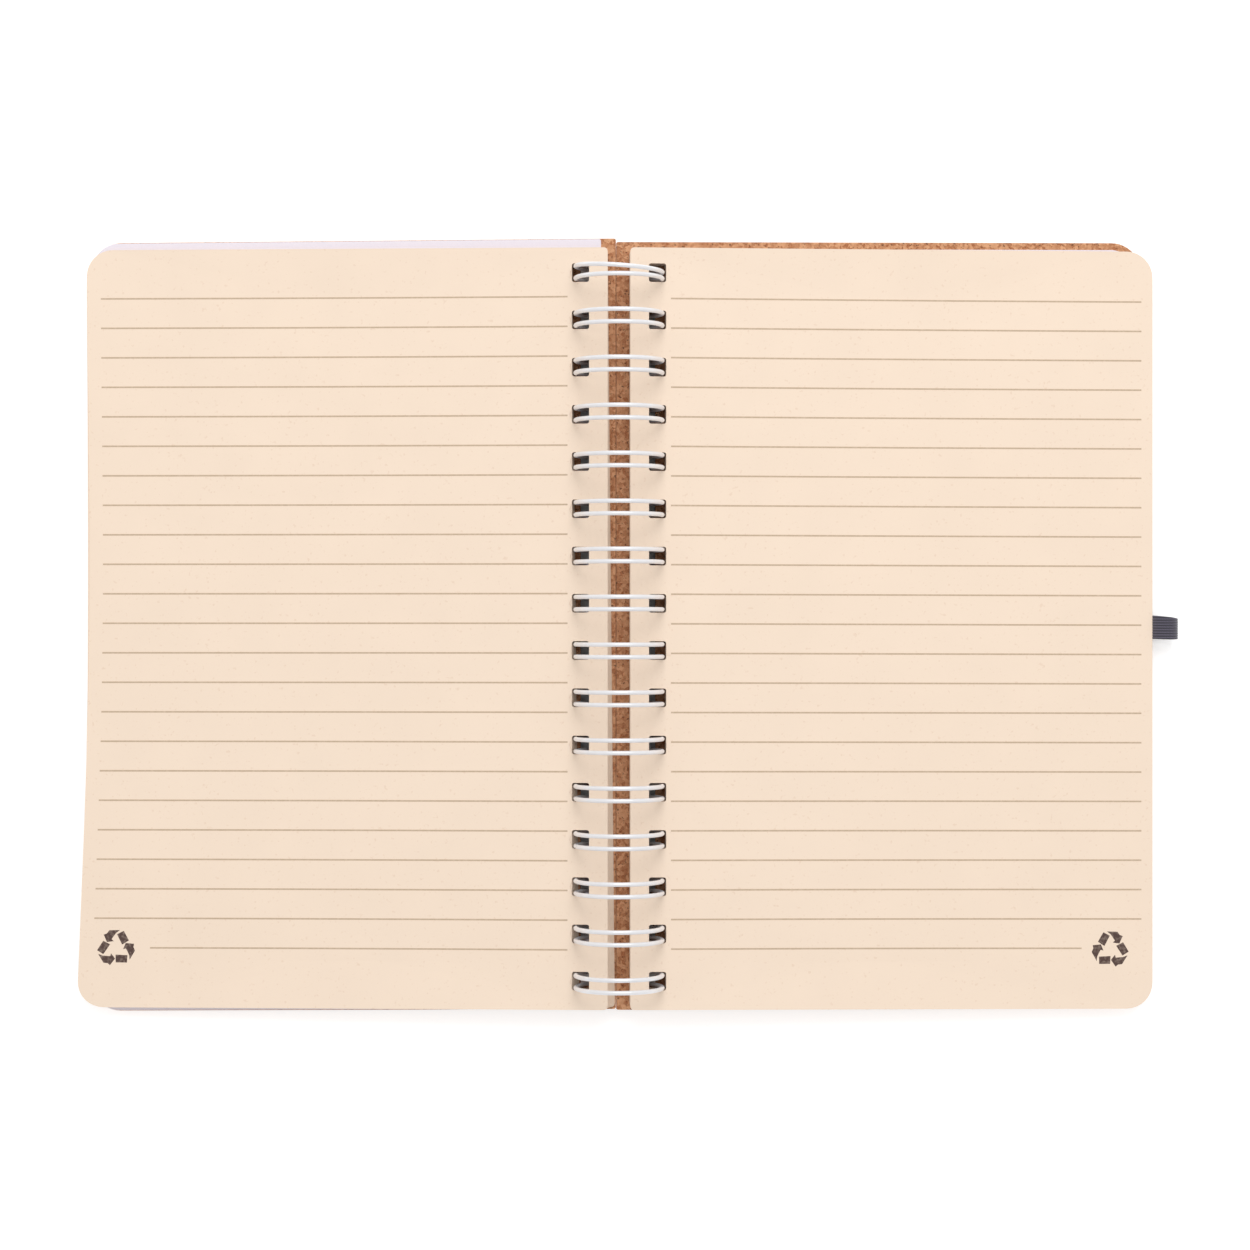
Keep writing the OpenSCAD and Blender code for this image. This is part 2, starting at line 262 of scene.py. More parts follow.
def nylon_coated_wire(binding):
    """Steel wire in a silver-white nylon coat: smooth, semi-gloss, with a soft bright streak along each curve."""
    material, tree = new_material("nylon_coated_steel_wire")
    place = add(tree, "ShaderNodeTexCoord").outputs["Object"]
    # The coat is a little uneven every 2 mm or so, where the wire was drawn and bent.
    coat = add(tree, "ShaderNodeTexNoise", {"Vector": place, "Scale": 1 / (2 * MM), "Detail": 2})
    tone = add(tree, "ShaderNodeMix", {
        0: coat.outputs["Fac"], 6: rgba(binding.wire), 7: rgba(binding.wire, 0.93)
    }, data_type="RGBA")
    gloss = add(tree, "ShaderNodeMapRange", {"Value": coat.outputs["Fac"], "To Min": 0.3, "To Max": 0.36})
    shader = add(tree, "ShaderNodeBsdfPrincipled", {
        "Base Color": tone.outputs[2], "Roughness": gloss.outputs["Result"], "Metallic": 0.25
    })
    return surfaced(material, shader)


def agglomerated_cork(binding):
    """Cork sheet, sliced from a block of glued granules: matt, tan patches with dark bark specks and small pits."""
    material, tree = new_material("agglomerated_cork_sheet")
    place = add(tree, "ShaderNodeTexCoord").outputs["Object"]
    # Granules are about 0.8 mm across; the noise keeps their outlines from being straight.
    bend = add(tree, "ShaderNodeTexNoise", {"Vector": place, "Scale": 1 / (0.9 * MM), "Detail": 2})
    shifted = add(tree, "ShaderNodeVectorMath", {0: bend.outputs["Color"], 1: (0.5 * MM,) * 3}, operation="MULTIPLY")
    ragged = add(tree, "ShaderNodeVectorMath", {0: place, 1: shifted.outputs[0]}, operation="ADD")
    grain = add(tree, "ShaderNodeTexVoronoi", {"Vector": ragged.outputs[0], "Scale": 1 / (0.8 * MM)})
    tone = add(tree, "ShaderNodeSeparateColor", {"Color": grain.outputs["Color"]})
    fine = add(tree, "ShaderNodeTexNoise", {"Vector": place, "Scale": 1 / (0.3 * MM), "Detail": 3, "Roughness": 0.7})
    mixed = add(tree, "ShaderNodeMath", {0: tone.outputs["Red"], 1: fine.outputs["Fac"]}, operation="MULTIPLY")
    spread = add(tree, "ShaderNodeMapRange", {"Value": mixed.outputs[0], "From Min": 0.02, "From Max": 0.6})
    tan = add(tree, "ShaderNodeMix", {
        0: spread.outputs["Result"], 6: rgba(binding.cork_light), 7: rgba(binding.cork_dark)
    }, data_type="RGBA")
    # Bark specks are about 0.5 mm, and one granule in ten or so has one.
    bark = add(tree, "ShaderNodeTexNoise", {"Vector": ragged.outputs[0], "Scale": 1 / (0.7 * MM), "Detail": 2})
    speck = add(tree, "ShaderNodeMapRange", {
        "Value": bark.outputs["Fac"], "From Min": 0.62, "From Max": 0.7, "To Max": 0.85
    })
    specked = add(tree, "ShaderNodeMix", {
        0: speck.outputs["Result"], 6: tan.outputs[2], 7: rgba(binding.bark)
    }, data_type="RGBA")
    pits = add(tree, "ShaderNodeMath", {0: fine.outputs["Fac"], 1: speck.outputs["Result"]}, operation="SUBTRACT")
    seams = add(tree, "ShaderNodeMath", {0: grain.outputs["Distance"], 1: pits.outputs[0]}, operation="ADD")
    bump = add(tree, "ShaderNodeBump", {"Height": seams.outputs[0], "Strength": 0.5, "Distance": 0.12 * MM})
    shader = add(tree, "ShaderNodeBsdfPrincipled", {
        "Base Color": specked.outputs[2], "Normal": bump.outputs["Normal"], "Roughness": 0.8, "IOR": 1.45,
        "Specular IOR Level": 0.3
    })
    return surfaced(material, shader)


def lining_paper(binding):
    """Smooth white endpaper pasted on board: cool white beside the cream sheets, with a very fine tooth."""
    material, tree = new_material("white_lining_paper")
    place = add(tree, "ShaderNodeTexCoord").outputs["Object"]
    tooth = add(tree, "ShaderNodeTexNoise", {"Vector": place, "Scale": 1 / (0.5 * MM), "Detail": 2})
    tone = add(tree, "ShaderNodeMix", {
        0: tooth.outputs["Fac"], 6: rgba(binding.lining), 7: rgba(binding.lining, 0.94)
    }, data_type="RGBA")
    bump = add(tree, "ShaderNodeBump", {"Height": tooth.outputs["Fac"], "Strength": 0.08, "Distance": 0.02 * MM})
    shader = add(tree, "ShaderNodeBsdfPrincipled", {
        "Base Color": tone.outputs[2], "Normal": bump.outputs["Normal"], "Roughness": 0.7, "IOR": 1.5
    })
    return surfaced(material, shader)


def woven_elastic(binding):
    """Woven elastic, rubber cords under spun polyester: matt charcoal, with fine cross threads over each cord."""
    material, tree = new_material("woven_elastic_braid")
    place = add(tree, "ShaderNodeTexCoord").outputs["Object"]
    # Cross threads are 0.35 mm apart, a little coarser than the real ones so that they show.
    weft = add(tree, "ShaderNodeTexWave", {
        "Vector": place, "Scale": math.tau / (20 * 0.35 * MM), "Distortion": 1.5, "Detail": 2
    }, bands_direction="DIAGONAL")
    # Nine rubber cords lie side by side: painted shade darkens the furrows between them and a painted highlight
    # lightens their tops.
    cords = add(tree, "ShaderNodeTexWave", {
        "Vector": place, "Scale": math.tau / (20 * binding.elastic_w / RIBS), "Phase Offset": math.pi
    }, bands_direction="Y")
    ribbed = add(tree, "ShaderNodeMath", {0: weft.outputs["Fac"], 1: 0.35, 2: 0.65}, operation="MULTIPLY_ADD")
    share = add(tree, "ShaderNodeMath", {0: cords.outputs["Fac"], 1: ribbed.outputs[0]}, operation="MULTIPLY")
    # The tone runs from painted shade in the furrows to a painted highlight on the cords' tops, with the cross
    # threads' woven pattern over it.
    tone = add(tree, "ShaderNodeMix", {
        0: share.outputs[0], 6: rgba(binding.elastic, 0.35), 7: rgba(binding.elastic, 1.7)
    }, data_type="RGBA")
    bump = add(tree, "ShaderNodeBump", {"Height": weft.outputs["Fac"], "Strength": 0.4, "Distance": 0.05 * MM})
    shader = add(tree, "ShaderNodeBsdfPrincipled", {
        "Base Color": tone.outputs[2], "Normal": bump.outputs["Normal"], "Roughness": 0.75, "IOR": 1.5,
        "Sheen Weight": 0.35, "Sheen Roughness": 0.5
    })
    return surfaced(material, shader)


def make_piece(name, points, faces, materials, face_materials=None, smooth=False):
    """A mesh object in the shared frame."""
    mesh = bpy.data.meshes.new(name)
    mesh.from_pydata([tuple(p) for p in points], [], faces)
    for material in materials:
        mesh.materials.append(material)
    if face_materials:
        mesh.polygons.foreach_set("material_index", face_materials)
    mesh.polygons.foreach_set("use_smooth", [smooth] * len(mesh.polygons))
    mesh.validate()
    piece = bpy.data.objects.new(name, mesh)
    bpy.context.scene.collection.objects.link(piece)
    return piece


def arc(x, y, radius, start, end, steps):
    """Points of an arc, with its angles in degrees."""
    return [
        (
            x + radius * math.cos(math.radians(start + (end - start) * n / steps)),
            y + radius * math.sin(math.radians(start + (end - start) * n / steps)),
        )
        for n in range(steps + 1)
    ]


def loop_middle(binding, number):
    """Where a loop's middle is along the spine."""
    return (number - (binding.loop_count - 1) / 2) * binding.pitch


class Stack:
    """The sheets on one side: where each point of each sheet lies."""

    def __init__(self, side, paper, binding):
        points = [(side * (v.co.x - RING.x), v.co.z) for v in frame["nodes"][PAGE_NODES[side]].data.vertices]
        spine = [p for p in points if p[0] < 4 * MM]
        self.side, self.paper = side, paper
        self.spine_z = (min(p[1] for p in spine), max(p[1] for p in spine))
        self.fore_z = (min(p[1] for p in points), max(points)[1])
        self.shaft_r = binding.ring_d / 2 + binding.wire_d / 2 + binding.play
        self.set_in = paper.hole_w + paper.hole_margin
        self.flush = self.edge(self.spine_z[1])

    def edge(self, z):
        """The spine edge of a sheet whose hole lies round the rings at height z."""
        return math.sqrt(self.shaft_r ** 2 - (RING.z - z) ** 2) - self.set_in

    def point(self, share, across, along, shift=0.0):
        """A point of the sheet at a share of the height, across from its spine edge and along from its middle."""
        paper = self.paper
        low, high = self.spine_z
        spine_z = low + share * (high - low)
        fore_z = self.fore_z[0] + share * (self.fore_z[1] - self.fore_z[0])
        out = across / paper.width
        head = min(1.0, max(0.0, along / paper.height + 0.5))
        # Lower sheets have slid out along their holes: nearly flush on the right, and towards the head on the left.
        slid = 0.9 if self.side == RIGHT else head
        slide = (self.flush - self.edge(spine_z)) * slid
        u = self.edge(spine_z) + slide + across + shift * out
        z = spine_z + (fore_z - spine_z) * out - paper.sag * share * math.sin(math.pi * out)
        if self.side == RIGHT:
            u += paper.reach * out
            along -= paper.fall * out
        else:
            # The left-hand page's fore-edge is hollow at the middle and stands out at the foot.
            stands_out = paper.flare * (1 - head) ** 3 - paper.hollow * math.sin(math.pi * head) ** 2
            u += out ** 2 * share ** 6 * stands_out
        return Vector((RING.x + self.side * u, along - paper.drop, z))


def hole_outline(paper, middle, rng, tear):
    """A punched hole with rounded corners, torn at its far side by up to the given depth."""
    near, far = paper.hole_margin, paper.hole_margin + paper.hole_w
    half, r = paper.hole_l / 2, paper.hole_r
    points = arc(near + r, middle - half + r, r, 180, 270, 3) + arc(far - r, middle - half + r, r, 270, 360, 3)
    if tear > 0:
        for share in (0.25, 0.5, 0.75):
            depth = tear * rng.uniform(0.1, 0.35) if share != 0.5 else tear * rng.uniform(0.35, 1)
            points.append((far + depth, middle + (share - 0.5 + rng.uniform(-0.08, 0.08)) * 2 * (half - r)))
    points += arc(far - r, middle + half - r, r, 0, 90, 3) + arc(near + r, middle + half - r, r, 90, 180, 3)
    return points


def cut_sheet(paper, binding, seed, tear):
    """A flat sheet, cut to its outline and holes: its points, its triangles and the edges of the cut."""
    rng = random.Random(seed)
    half = paper.height / 2
    outline = (
        arc(paper.inner_r, -half + paper.inner_r, paper.inner_r, 180, 270, 3)
        + arc(paper.width - paper.outer_r, -half + paper.outer_r, paper.outer_r, 270, 360, 8)
    )
    rows = 16
    outline += [(paper.width, -half + paper.height * n / rows) for n in range(2, rows - 1)]
    outline += (
        arc(paper.width - paper.outer_r, half - paper.outer_r, paper.outer_r, 0, 90, 8)
        + arc(paper.inner_r, half - paper.inner_r, paper.inner_r, 90, 180, 3)
    )
    loops = [outline]
    for number in range(binding.loop_count):
        loops.append(hole_outline(paper, loop_middle(binding, number) + paper.drop, rng, tear))
    points, faces = [], []
    for loop in loops:
        faces.append(list(range(len(points), len(points) + len(loop))))
        points += loop
    columns = 9
    first = paper.hole_margin + paper.hole_w + 4 * MM
    last = paper.width - paper.outer_r
    for i in range(columns):
        for j in range(1, rows):
            points.append((first + (last - first) * i / (columns - 1), -half + paper.height * j / rows))
    edges = [(face[n], face[(n + 1) % len(face)]) for face in faces for n in range(len(face))]
    cut = delaunay_2d_cdt([Vector(p) for p in points], edges, faces, 2, 1e-7)
    triangles = [tuple(f) for f in cut[2]]
    seen = {}
    for a, b, c in triangles:
        for edge in ((a, b), (b, c), (c, a)):
            if (edge[1], edge[0]) in seen:
                del seen[(edge[1], edge[0])]
            else:
                seen[edge] = True
    return [tuple(p) for p in cut[0]], triangles, list(seen)


# Where each kind of face finds its material on a sheet.
FACE, PUNCHED, GUILLOTINED = 0, 1, 2


def stack_sheets(stack, shares, sheet, rng, name, materials):
    """Thin closed sheets, one on the other, joined in one piece."""
    paper = stack.paper
    flat, triangles, rim = sheet
    points, faces, kinds = [], [], []
    flip = stack.side == LEFT
    hole_limit = paper.hole_margin + paper.hole_w + 2 * MM
    for share in shares:
        shift = rng.uniform(-1, 1) * paper.fray if share < 1 else 0.0
        start, count = len(points), len(flat)
        top = [stack.point(share, across, along, shift) for across, along in flat]
        points += top + [p - Vector((0, 0, paper.sheet_t)) for p in top]
        for a, b, c in triangles:
            up = (a, c, b) if flip else (a, b, c)
            faces.append(tuple(start + v for v in up))
            faces.append(tuple(start + count + v for v in reversed(up)))
            kinds += [FACE, FACE]
        for a, b in rim:
            wall = (start + b, start + a, start + count + a, start + count + b)
            faces.append(tuple(reversed(wall)) if flip else wall)
            near, far = sorted((flat[a][0], flat[b][0]))
            end = max(abs(flat[a][1]), abs(flat[b][1]))
            # Walls inside the holes take the punched-edge material, whose dark brown is painted shade.
            in_hole = paper.hole_margin - MM < near and far < hole_limit and end < paper.height / 2 - MM
            kinds.append(PUNCHED if in_hole else GUILLOTINED)
    return make_piece(name, points, faces, materials, kinds)


class NOTEBOOK_OT_pages(Operator):
    """Lays the punched sheets on both sides of the rings."""

    bl_idname = "notebook.pages"
    bl_label = "Sheets"

    def execute(self, context):
        paper, binding = context.scene.notebook_paper, context.scene.notebook_binding
        materials = [recycled_paper(paper), punched_edge_painted_shade(paper), guillotined_edge(paper)]
        for side in (LEFT, RIGHT):
            rng = random.Random(20 + side)
            stack = Stack(side, paper, binding)
            shares = [(n + 1) / paper.sheet_count for n in range(paper.sheet_count)]
            lower = cut_sheet(paper, binding, 5, 0.0)
            upper = cut_sheet(paper, binding, 7 + side, paper.tear if side == LEFT else 0.2 * paper.tear)
            body = stack_sheets(stack, shares[:-1], lower, rng, SIDE_NAMES[side] + "_sheets", materials)
            top = stack_sheets(stack, shares[-1:], upper, rng, SIDE_NAMES[side] + "_top_sheet", materials)
            for piece in (body, top):
                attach(piece, BODIES[side])
            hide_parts(PAGE_NODES[side])
        return {"FINISHED"}


def rule_line(stack, start, end, along):
    """A ruled line lying on the open page, as a thin closed strip that follows its sag."""
    paper = stack.paper
    steps, points, faces = 24, [], []
    for n in range(steps + 1):
        across = start + (end - start) * n / steps
        for edge, lift in ((-1, 0), (1, 0), (1, 1), (-1, 1)):
            base = stack.point(1, across, along + edge * paper.rule_w / 2)
            points.append(base + Vector((0, 0, lift * paper.ink_t)))
    for n in range(steps):
        for k in range(4):
            a, b = 4 * n + k, 4 * n + (k + 1) % 4
            faces.append((a, b, b + 4, a + 4))
    faces += [(3, 2, 1, 0), tuple(4 * steps + k for k in range(4))]
    return points, faces


# One third of the public three-arrow recycling sign, in millimetres from its middle: a bar, then an arrow.
SIGN_BAR = ((-3.37, 2.03), (-1.92, 4.61), (-0.17, 3.68), (-1.61, 0.89))
SIGN_ARROW = (
    (-0.89, 4.82), (1.90, 4.75), (2.55, 3.85), (3.35, 3.58), (2.42, 1.55), (0.66, 1.82), (1.22, 2.38), (0.10, 4.05)
)


def sign_shapes(stack, across, along):
    """The recycling sign on the open page, in six thin closed plates."""
    paper = stack.paper
    points, faces = [], []
    for third in range(3):
        turn = math.radians(-120 * third)
        for shape in (SIGN_BAR, SIGN_ARROW):
            start, count = len(points), len(shape)
            for lift in (0, 1):
                for x, y in shape:
                    a = across + (x * math.cos(turn) - y * math.sin(turn)) * MM
                    b = along + (x * math.sin(turn) + y * math.cos(turn)) * MM
                    points.append(stack.point(1, a, b) + Vector((0, 0, lift * paper.ink_t)))
            faces.append(tuple(start + n for n in range(count)))
            faces.append(tuple(start + count + n for n in reversed(range(count))))
            for n in range(count):
                m = (n + 1) % count
                faces.append((start + m, start + n, start + count + n, start + count + m))
    return points, faces


class NOTEBOOK_OT_print(Operator):
    """Prints the ruled lines and the recycling sign on both open pages."""

    bl_idname = "notebook.print"
    bl_label = "Print"

    def execute(self, context):
        paper, binding = context.scene.notebook_paper, context.scene.notebook_binding
        rule_ink = offset_ink("offset_ink_rules", paper.rule, paper.paper)
        sign_ink = offset_ink("offset_ink_sign", paper.sign, paper.paper)
        # Millimetres from the spine edge to a line's two ends, the last line's outer end and the sign's middle, then
        # the first line's place and the lines' pitch.
        layout = {
            LEFT: (10.8, 137.3, 122.3, 131.3, 89.3, 7.985),
            RIGHT: (10.9, 138.0, 121.8, 129.6, 88.85, 7.954),
        }
        lines, sign_y = 23, -86.4 * MM
        for side in (LEFT, RIGHT):
            stack = Stack(side, paper, binding)
            inner, outer, short, sign_x, first, pitch = [value * MM for value in layout[side]]
            points, faces = [], []
            for n in range(lines):
                end = short if n == lines - 1 else outer
                more, walls = rule_line(stack, inner, end, first - n * pitch)
                faces += [tuple(len(points) + v for v in wall) for wall in walls]
                points += more
            rules = make_piece(SIDE_NAMES[side] + "_rules", points, faces, [rule_ink])
            sign = make_piece(SIDE_NAMES[side] + "_recycling_sign", *sign_shapes(stack, sign_x, sign_y), [sign_ink])
            for piece in (rules, sign):
                face_outward(piece)
                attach(piece, BODIES[side])
        return {"FINISHED"}


def face_outward(piece):
    """Turns every closed part's faces outward."""
    bpy.ops.object.select_all(action="DESELECT")
    bpy.context.view_layer.objects.active = piece
    piece.select_set(True)
    bpy.ops.object.mode_set(mode="EDIT")
    bpy.ops.mesh.select_all(action="SELECT")
    bpy.ops.mesh.normals_make_consistent(inside=False)
    bpy.ops.object.mode_set(mode="OBJECT")
    piece.select_set(False)


def wire_path(binding):
    """The middle of the wire, from its cut end at the foot through every double loop to the head."""
    r, root_r = binding.ring_d / 2, binding.root_r
    root = math.atan(root_r / r)

    def on_ring(angle, along, y):
        """A point beside the ring at an angle from straight below its axis."""
        x = r * math.sin(angle) + along * math.cos(angle)
        z = -r * math.cos(angle) + along * math.sin(angle)
        return RING + Vector((x, y, z))

    path = []
    steps = 72
    for number in range(binding.loop_count):
        middle = loop_middle(binding, number)
        head = number == binding.loop_count - 1
        narrow = binding.pinch if head else binding.gap
        tip = math.atan((narrow / 2 + binding.wire_d + binding.tip_gap) / r)
        turn = 2 * math.pi - tip - root

        def half_gap(share):
            """Half the distance between the two wires: the head loop is pinched from its top on."""
            if not head:
                return binding.gap / 2
            ease = min(1.0, max(0.0, (share - 0.2) / 0.5))
            return (binding.gap + (binding.pinch - binding.gap) * ease * ease * (3 - 2 * ease)) / 2

        def lean(share):
            """How far the head loop leans to the foot on its way over the right-hand sheets."""
            if not head:
                return 0.0
            rise, back = [min(1.0, max(0.0, t)) for t in ((share - 0.2) / 0.55, (share - 0.78) / 0.18)]
            return -binding.lean * (rise * rise * (3 - 2 * rise)) * (1 - back * back * (3 - 2 * back))

        def root_bend(side):
            """The bend from the straight wire up to the ring, or back."""
            y = middle + side * half_gap(0)
            bend = [
                on_ring(-root, root_r * math.cos(t), y + side * (root_r - root_r * math.sin(t)))
                for t in [math.pi / 2 * n / 8 for n in range(8)]
            ]
            return bend if side < 0 else bend[::-1]

        if number == 0:
            path.append(root_bend(-1)[0] - Vector((0, binding.cut_end, 0)))
        path += root_bend(-1)
        path += [
            on_ring(-root - turn * n / steps, 0, middle + lean(n / steps) - half_gap(n / steps))
            for n in range(steps + 1)
        ]
        reach = half_gap(1)
        path += [
            on_ring(tip, -reach * math.cos(t), middle + reach * math.sin(t))
            for t in [math.pi * (n / 10 - 0.5) for n in range(1, 10)]
        ]
        path += [
            on_ring(-root - turn * n / steps, 0, middle + lean(n / steps) + half_gap(n / steps))
            for n in range(steps, -1, -1)
        ]
        path += root_bend(1)
    path.append(path[-1] + Vector((0, binding.cut_end, 0)))
    return path


def sweep(path, radius, sides):
    """A round rod along a path, closed at both ends."""
    points, faces = [], []
    normal = None
    for n, here in enumerate(path):
        ahead = (path[min(n + 1, len(path) - 1)] - path[max(n - 1, 0)]).normalized()
        if normal is None:
            normal = ahead.orthogonal().normalized()
        normal = (normal - ahead * normal.dot(ahead)).normalized()
        across = ahead.cross(normal)
        for k in range(sides):
            t = math.tau * k / sides
            points.append(here + radius * (normal * math.cos(t) + across * math.sin(t)))
    for n in range(len(path) - 1):
        for k in range(sides):
            m = (k + 1) % sides
            faces.append((n * sides + k, n * sides + m, (n + 1) * sides + m, (n + 1) * sides + k))
    faces.append(tuple(reversed(range(sides))))
    faces.append(tuple((len(path) - 1) * sides + k for k in range(sides)))
    return points, faces


class NOTEBOOK_OT_wire(Operator):
    """Bends the coated wire into its double loops."""

    bl_idname = "notebook.wire"
    bl_label = "Wire binding"

    def execute(self, context):
        binding = context.scene.notebook_binding
        points, faces = sweep(wire_path(binding), binding.wire_d / 2, 14)
        wire = make_piece("double_loop_wire", points, faces, [nylon_coated_wire(binding)], smooth=True)
        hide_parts("wire_binding")
        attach(wire, "back_half")
        return {"FINISHED"}


def refitted(node, name, side, spine, fore, head, foot, askew):
    """A copy of a flat CAD piece with its edges moved, its spine corners cut squarer, and laid a little askew."""
    mesh = node.data.copy()
    mesh.name = name
    mesh.materials.clear()
    out = [side * (v.co.x - RING.x) for v in mesh.vertices]
    ends = [v.co.y for v in mesh.vertices]
    top = [v.co.z for v in mesh.vertices]
    near, far = out.index(min(out)), out.index(max(out))
    slope = (top[far] - top[near]) / (out[far] - out[near])
    low, high = min(ends), max(ends)
    radius = min(u for u, y in zip(out, ends) if y > high - 0.001 * MM) - out[near]
    # The fore-edge corners move whole, and the spine corners keep a quarter of their radius.
    corner, square = 7.1 * MM, 0.25
    for v, u, y in zip(mesh.vertices, out, ends):
        slide = fore - out[far] if u > out[far] - corner else 0.0
        if u < out[near] + radius + 0.1 * MM:
            slide = spine - out[near]
            for end, way in ((low, 1), (high, -1)):
                if way * (y - end) < radius:
                    slide += (square - 1) * (u - out[near])
                    v.co.y += (square - 1) * (y - end)
        v.co.x += side * slide
        v.co.z += slope * slide
        v.co.y += head - high if y > high - corner else foot - low if y < low + corner else 0.0
        v.co.y += askew * (0.5 - (u - out[near]) / (out[far] - out[near]))
    piece = bpy.data.objects.new(name, mesh)
    bpy.context.scene.collection.objects.link(piece)
    return piece


def rounded(piece, radius):
    """Takes the sharpness off a board's edges."""
    bevel = piece.modifiers.new("worn_edge", "BEVEL")
    bevel.width, bevel.segments, bevel.limit_method, bevel.angle_limit = radius, 2, "ANGLE", math.radians(50)
    bevel.use_clamp_overlap = True


class NOTEBOOK_OT_covers(Operator):
    """Lays the cork-faced boards and the lining paper pasted inside them."""

    bl_idname = "notebook.covers"
    bl_label = "Covers"

    def execute(self, context):
        binding = context.scene.notebook_binding
        cork, lining = agglomerated_cork(binding), lining_paper(binding)
        # Where the boards' and linings' spine edges lie, outward from the ring axis.
        spines = {LEFT: (0.85 * MM, 4.9 * MM), RIGHT: (-0.8 * MM, 4.2 * MM)}
        # The boards' head and foot edges, and how far the front board lies askew.
        ends = {LEFT: (104.8 * MM, -104.0 * MM, 0.9 * MM), RIGHT: (104.4 * MM, -103.9 * MM, 0.0)}
        margin, wider, worn = 0.15 * MM, 3 * MM, 0.2 * MM
        for side in (LEFT, RIGHT):
            cover, paper = frame["nodes"][COVER_NODES[side]], frame["nodes"][LINING_NODES[side]]
            cover_far = max(side * (v.co.x - RING.x) for v in cover.data.vertices)
            paper_far = max(side * (v.co.x - RING.x) for v in paper.data.vertices)
            paper_ends = [v.co.y for v in paper.data.vertices]
            head, foot, askew = ends[side]
            board = refitted(
                cover, SIDE_NAMES[side] + "_cork_board", side, spines[side][0], cover_far, head, foot, askew
            )
            # The left-hand lining reaches the board's edges.
            edges = (paper_far, max(paper_ends), min(paper_ends))
            if side == LEFT:
                edges = (cover_far - margin, head - margin, foot + margin)
            inside = refitted(paper, SIDE_NAMES[side] + "_lining_sheet", side, spines[side][1], *edges, askew)
            # The lining is punched wider than the board, so the darker bare cork shows at the bottom of the holes as
            # painted shade.
            for v in inside.data.vertices:
                if 8 * MM < side * (v.co.x - RING.x) < 11 * MM and abs(v.co.y) < 98.5 * MM:
                    v.co.x += side * wider
            rounded(board, worn)
            board.data.materials.append(cork)
            inside.data.materials.append(lining)
            for piece, node, slot in ((board, cover, "cork"), (inside, paper, "lining_paper")):
                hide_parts(node.name)
                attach(piece, BODIES[side])
        return {"FINISHED"}


def elastic_path(binding, tilt, slant):
    """The middle of the elastic: out along its lower layer, round the eye and back along the upper layer."""
    r = binding.pen_r + binding.elastic_t / 2
    half = binding.elastic_t / 2
    neck = (-math.sqrt(2) * r * math.cos(slant), -math.sqrt(2) * r * math.sin(slant))
    tail = neck[0] - binding.stem - binding.tail + 0.2 * MM
    low, high = math.degrees(slant) - 135, math.degrees(slant) + 135
    path = [(tail + (neck[0] - 0.6 * MM - tail) * n / 4, neck[1] - half) for n in range(5)]
    path += arc(0, 0, r, low, high, 44)
    # Where the upper layer leaves the eye, it is tucked down on the lower one.
    path += [(neck[0] + 0.32 * MM, neck[1] + 1.5 * MM), (neck[0] + 0.18 * MM, neck[1] + 0.95 * MM)]
    path += arc(neck[0] - 0.35 * MM, neck[1] + half + 0.45 * MM, 0.45 * MM, -10, -90, 4)
    path += [(neck[0] - 0.8 * MM + (tail - neck[0] + 0.8 * MM) * n / 4, neck[1] + half) for n in range(5)]
    turned = []
    for x, z in path:
        turned.append(EYE + Vector((
            x * math.cos(tilt) + z * math.sin(tilt), 0, -x * math.sin(tilt) + z * math.cos(tilt)
        )))
    return turned


class NOTEBOOK_OT_pen_loop(Operator):
    """Folds the ribbed elastic into the pen loop."""

    bl_idname = "notebook.pen_loop"
    bl_label = "Pen loop"

    def execute(self, context):
        binding = context.scene.notebook_binding
        # The back board's tilt, the eye's room over the table and the height of the slot in the board's edge.
        tilt, room, slot_z = math.radians(1.05), 0.25 * MM, 1.2 * MM
        drop = binding.pen_r + binding.elastic_t + room - slot_z
        slant = math.asin(drop / (math.sqrt(2) * (binding.pen_r + binding.elastic_t / 2)))
        path = elastic_path(binding, tilt, slant)
        cells = RIBS * 6
        points, faces = [], []
        far, eye_w = max(p.x for p in path), 8 * MM
        for n, here in enumerate(path):
            ahead = (path[min(n + 1, len(path) - 1)] - path[max(n - 1, 0)]).normalized()
            out = ahead.cross(Vector((0, 1, 0))).normalized()
            # The band leans to the foot and narrows towards the far side of the eye, where it is pulled round.
            reach = min(1.0, max(0.0, 1 - (far - here.x) / eye_w))
            width = binding.elastic_w * (0.985 - 0.06 * reach - 0.07 * reach ** 6)
            lean = -0.55 * MM * reach
            for side in (1, -1):
                for k in range(cells + 1):
                    share = k / cells if side > 0 else 1 - k / cells
                    rib = abs(math.sin(math.pi * share * RIBS))
                    thick = binding.elastic_t / 2 * (0.72 + 0.26 * rib)
                    points.append(here + side * thick * out + Vector((0, (share - 0.5) * width + lean, 0)))
        ring = 2 * (cells + 1)
        for n in range(len(path) - 1):
            for k in range(ring):
                m = (k + 1) % ring
                faces.append((n * ring + k, n * ring + m, (n + 1) * ring + m, (n + 1) * ring + k))
        faces.append(tuple(reversed(range(ring))))
        faces.append(tuple((len(path) - 1) * ring + k for k in range(ring)))
        band = make_piece("elastic_pen_loop", points, faces, [woven_elastic(binding)], smooth=True)
        face_outward(band)
        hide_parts("pen_loop")
        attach(band, "back_half")
        return {"FINISHED"}


# What the floor adds to its own shade to look white to the camera.
FLOOR_GLOW = 0.5


